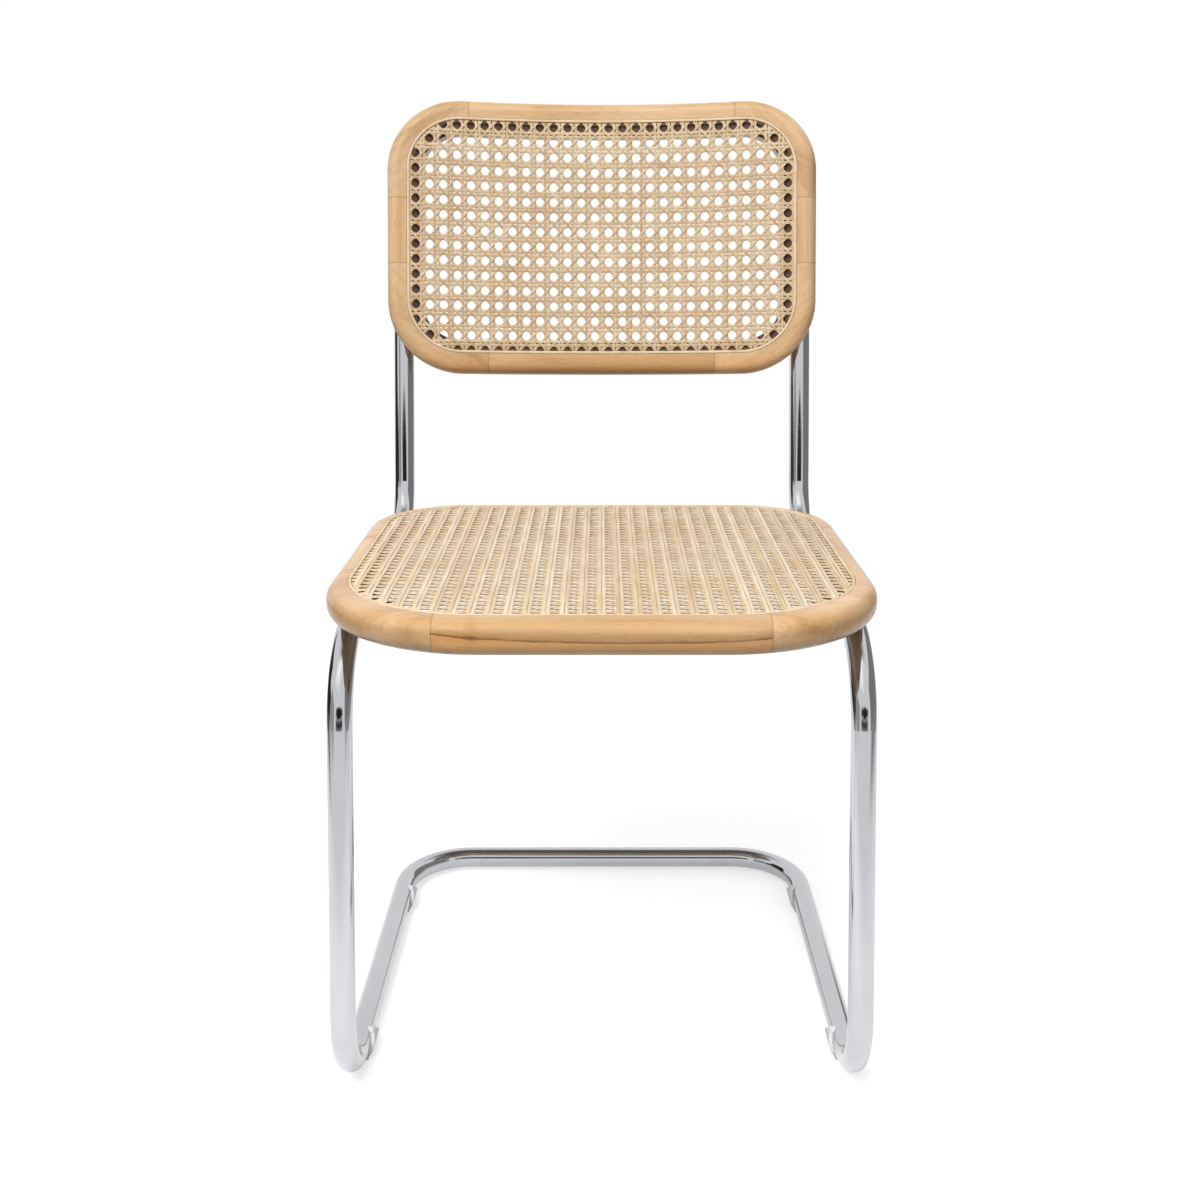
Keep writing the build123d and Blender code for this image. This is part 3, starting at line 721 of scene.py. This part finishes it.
seat_sections = {
    "lengthwise": (SEAT_WIDTH[0], STRAND_THICKNESS),
    "crosswise": (SEAT_WIDTH[1], SEAT_CROSSWISE_THICKNESS),
    "rising": (SEAT_DIAGONAL, STRAND_THICKNESS),
    "falling": (SEAT_DIAGONAL, STRAND_THICKNESS),
}
back_sections = {
    "lengthwise": (BACK_WIDTH[0], STRAND_THICKNESS),
    "crosswise": (BACK_WIDTH[1], STRAND_THICKNESS),
    "rising": (BACK_DIAGONAL, STRAND_THICKNESS),
    "falling": (BACK_DIAGONAL, STRAND_THICKNESS),
}
seat_spec = (SEAT_PITCH, SEAT_HALF_GAP, seat_sections, SEAT_LEVELS, SEAT_LOWEST, SEAT_CANE_TONE_AND_LIGHT)
seat_axes = (X_AXIS, Y_AXIS, Z_AXIS)
seat_origin = seat_cane_centre[1]
seat_place = (seat_origin, seat_cane_half, seat_axes)
weave("seat", "seat_cane", seat_surface, seat_outline, seat_spec, *seat_place, SEAT_SEED)
back_spec = (BACK_PITCH, BACK_HALF_GAP, back_sections, BACK_LEVELS, BACK_LOWEST, BACK_CANE_TONE)
back_axes = (X_AXIS, UP_THE_BACK, OUT_OF_BACK)
back_origin = BACK_FIRST_OPENING + BACK_ROWS_TO_ORIGIN * BACK_PITCH[1]
back_place = (back_origin, back_cane_half, back_axes)
weave("back", "back_cane", back_surface, back_outline, back_spec, *back_place, BACK_SEED)

# Rebate under the cane's edge: its polygons take a darker wood, painted shade that stands in for the shade
# under the cane
REBATE_TOLERANCE = 0.4 * MM
EDGE_TOLERANCE = 0.5 * MM
shaded_wood = wood("beech_rebate_painted_shade", X_AXIS, Z_AXIS, REBATE_PAINTED_SHADE_WOOD)


def in_seat_rebate(point, normal):
    """Whether a point of the seat frame lies on the ledge or the lip under the cane."""
    deep = SEAT_CANE_LOW.z + LIP_DROP - LEDGE_DROP - REBATE_TOLERANCE
    between = deep < point.z < SEAT_CANE_LOW.z + REBATE_TOLERANCE
    return between and normal.z > 0.5 and seat_outline(point.x, point.y) < EDGE_TOLERANCE


def in_back_rebate(point, normal):
    """Whether a point of the backrest frame lies on the ledge or the lip under the cane."""
    offset = point - BACK_FOOT
    behind = BOW_CENTRE - offset.dot(OUT_OF_BACK)
    depth = sqrt(offset.x**2 + behind**2) - BACK_BOW_RADIUS
    between = LIP_DROP - REBATE_TOLERANCE < depth < LEDGE_DROP + REBATE_TOLERANCE
    u = back_cane_middle * np.arcsin(offset.x / back_cane_middle)
    inside = back_outline(u, offset.dot(UP_THE_BACK)) < EDGE_TOLERANCE
    return between and normal.dot(OUT_OF_BACK) > 0.5 and inside


for node in wood_pieces:
    piece = nodes[node]
    piece.data.materials.append(shaded_wood)
    in_rebate = in_seat_rebate if node.startswith("seat") else in_back_rebate
    for polygon in piece.data.polygons:
        if in_rebate(piece.matrix_world @ polygon.center, polygon.normal):
            polygon.material_index = 1

# Camera
camera = bpy.data.cameras.new("camera")
camera.sensor_width = SENSOR_WIDTH
camera.lens = SENSOR_WIDTH * FOCAL_PIXELS / PHOTO_SIDE
camera.shift_x = (PHOTO_SIDE / 2 - OPTICAL_COLUMN) / PHOTO_SIDE
camera.shift_y = (OPTICAL_ROW - PHOTO_SIDE / 2) / PHOTO_SIDE
camera_object = bpy.data.objects.new("camera", camera)
camera_object.location = CAMERA_PLACE
camera_object.rotation_euler = (pi / 2 - CAMERA_PITCH, 0, 0)
bpy.context.scene.collection.objects.link(camera_object)
bpy.context.scene.camera = camera_object

# Studio: a pale floor that fades into the white background, soft light, and cards that show only in
# reflections
WHITE = 1.0
FLOOR_SIDE = 14.0
FLOOR_COLOUR = 0.97
FLOOR_BOUNCE = 0.18
FLOOR_GLOW = 0.46
FLOOR_GLOW_IN_METAL = 0.28
WORLD_LIGHT = 0.52
KEY_PLACE = (-0.7, -1.4, 2.5)
KEY_TARGET = Vector((0, 0, 0.4))
KEY_SIDE = 1.8
KEY_POWER = 56
SOFTBOX_SIDE = 2.2
FADE_LENGTH = 2.0
FADE_STOPS = ((0.32, 0.0), (0.75, 1.0))


def plane(name, side_u, side_v):
    """Flat rectangle, centred at its origin and facing +Z."""
    half_u, half_v = side_u / 2, side_v / 2
    mesh = bpy.data.meshes.new(name)
    corners = [(-half_u, -half_v, 0), (half_u, -half_v, 0), (half_u, half_v, 0), (-half_u, half_v, 0)]
    mesh.from_pydata(corners, [], [(0, 1, 2, 3)])
    made = bpy.data.objects.new(name, mesh)
    bpy.context.scene.collection.objects.link(made)
    return made


def seen_directly(tree):
    """1 for rays of the camera, of reflections and through clear material, else 0."""
    path = add_node(tree, "ShaderNodeLightPath")
    seen = math_node(tree, "MAXIMUM", path.outputs["Is Camera Ray"], path.outputs["Is Glossy Ray"])
    return math_node(tree, "MAXIMUM", seen, path.outputs["Is Transmission Ray"])


def by_ray(tree, otherwise, seen):
    """A value for rays that show a thing directly, and another for rays that only carry its light."""
    inputs = {"Value": seen_directly(tree), "To Min": otherwise, "To Max": seen}
    return add_node(tree, "ShaderNodeMapRange", inputs).outputs[0]


floor_material, tree, shader = new_material("floor")
tree.links.new(by_ray(tree, FLOOR_BOUNCE, FLOOR_COLOUR), shader.inputs["Base Color"])
shader.inputs["Roughness"].default_value = 1.0
shader.inputs["Specular IOR Level"].default_value = 0.0
path = add_node(tree, "ShaderNodeLightPath")
straight = math_node(tree, "MAXIMUM", path.outputs["Is Camera Ray"], path.outputs["Is Transmission Ray"])
to_camera = math_node(tree, "MULTIPLY", straight, FLOOR_GLOW)
to_metal = math_node(tree, "MULTIPLY", path.outputs["Is Glossy Ray"], FLOOR_GLOW_IN_METAL)
shader.inputs["Emission Color"].default_value = (1, 1, 1, 1)
tree.links.new(math_node(tree, "MAXIMUM", to_camera, to_metal), shader.inputs["Emission Strength"])
far_inputs = {"Color": (WHITE, WHITE, WHITE, 1), "Strength": by_ray(tree, FLOOR_BOUNCE, 1.0)}
far_glow = add_node(tree, "ShaderNodeEmission", far_inputs)
place = add_node(tree, "ShaderNodeTexCoord").outputs["Object"]
far = add_node(tree, "ShaderNodeVectorMath", {0: place}, operation="LENGTH").outputs["Value"]
fade = ramp(tree, math_node(tree, "MULTIPLY", far, 1 / FADE_LENGTH), FADE_STOPS)
blend = add_node(tree, "ShaderNodeMixShader", {0: fade, 1: shader.outputs[0], 2: far_glow.outputs[0]})
tree.links.new(blend.outputs[0], tree.nodes["Material Output"].inputs["Surface"])
floor = plane("floor", FLOOR_SIDE, FLOOR_SIDE)
floor.data.materials.append(floor_material)

world = bpy.data.worlds.new("world")
bpy.context.scene.world = world
world.use_nodes = True
tree = world.node_tree
background = tree.nodes["Background"]
tree.links.new(by_ray(tree, WORLD_LIGHT, WHITE), background.inputs["Strength"])
background.inputs["Color"].default_value = (1, 1, 1, 1)


def area_light(name, place, target, side, power):
    """Soft square lamp that faces a point and doesn't show in reflections."""
    lamp = bpy.data.lights.new(name, "AREA")
    lamp.shape = "SQUARE"
    lamp.size = side
    lamp.energy = power
    made = bpy.data.objects.new(name, lamp)
    made.location = place
    made.rotation_euler = (Vector(target) - Vector(place)).to_track_quat("-Z", "Y").to_euler()
    made.visible_glossy = False
    bpy.context.scene.collection.objects.link(made)


area_light("key", KEY_PLACE, KEY_TARGET, KEY_SIDE, KEY_POWER)


def card(name, place, turn, side_u, side_v, grey, soft):
    """Grey studio card with soft edges, which shows only in reflections."""
    material, tree, _ = new_material(name)
    glow = add_node(tree, "ShaderNodeEmission", {"Color": (grey, grey, grey, 1), "Strength": 1.0})
    clear = add_node(tree, "ShaderNodeBsdfTransparent")
    on_card = add_node(tree, "ShaderNodeTexCoord").outputs["Object"]
    corner = add_node(tree, "ShaderNodeSeparateXYZ", {0: on_card})
    shares = []
    for axis, side in ((0, side_u), (1, side_v)):
        inside = math_node(tree, "SUBTRACT", side / 2, math_node(tree, "ABSOLUTE", corner.outputs[axis]))
        shares.append(math_node(tree, "DIVIDE", inside, soft))
    edge = ramp(tree, math_node(tree, "MINIMUM", *shares), ((0.0, 0.0), (1.0, 1.0)))
    blend = add_node(tree, "ShaderNodeMixShader", {0: edge, 1: clear.outputs[0], 2: glow.outputs[0]})
    tree.links.new(blend.outputs[0], tree.nodes["Material Output"].inputs["Surface"])
    made = plane(name, side_u, side_v)
    made.location = place
    made.rotation_euler = turn
    made.data.materials.append(material)
    made.visible_camera = False
    made.visible_diffuse = False
    made.visible_shadow = False


# Ways that a card is turned: standing at a side or in front, lying, and overhead
AT_LEFT = (0, pi / 2, 0)
AT_RIGHT = (0, -pi / 2, 0)
IN_FRONT = (pi / 2, 0, 0)
LYING = (0, 0, 0)
OVERHEAD = (pi, 0, 0)

# Cards: place, turn, two sides, grey and width of the soft edge
card("left_front_card", (-1.6, -1.25, 0.52), AT_LEFT, 1.05, 1.4, 0.42, 0.12)
card("left_band_card", (-1.59, -0.1, 0.42), AT_LEFT, 0.62, 1.0, 0.03, 0.12)
card("left_rear_card", (-1.6, 0.55, 0.52), AT_LEFT, 1.05, 1.3, 0.03, 0.15)
card("left_floor_card", (-2.2, 0.8, 0.004), LYING, 2.1, 2.8, 0.15, 0.3)
card("right_card", (1.6, 0.4, 0.83), AT_RIGHT, 1.65, 4.0, 0.28, 0.25)
card("right_floor_card", (2.3, 0.4, 0.004), LYING, 2.2, 4.0, 0.35, 0.5)
card("front_low_card", (0, -2.3, 0.46), IN_FRONT, 2.6, 0.56, 0.03, 0.25)
card("front_band_card", (0.05, -2.3, 0.86), IN_FRONT, 2.6, 0.48, 0.05, 0.10)
card("front_middle_card", (0.1, -2.29, 0.87), IN_FRONT, 1.1, 0.54, 0.02, 0.06)
card("ceiling_card", (0, 0.5, 2.6), OVERHEAD, 3.0, 3.2, 0.15, 1.0)
softbox_turn = (KEY_TARGET - Vector(KEY_PLACE)).to_track_quat("Z", "Y").to_euler()
card("softbox_card", KEY_PLACE, softbox_turn, SOFTBOX_SIDE, SOFTBOX_SIDE, 1.6, 0.8)

bpy.context.scene.view_settings.view_transform = "Standard"
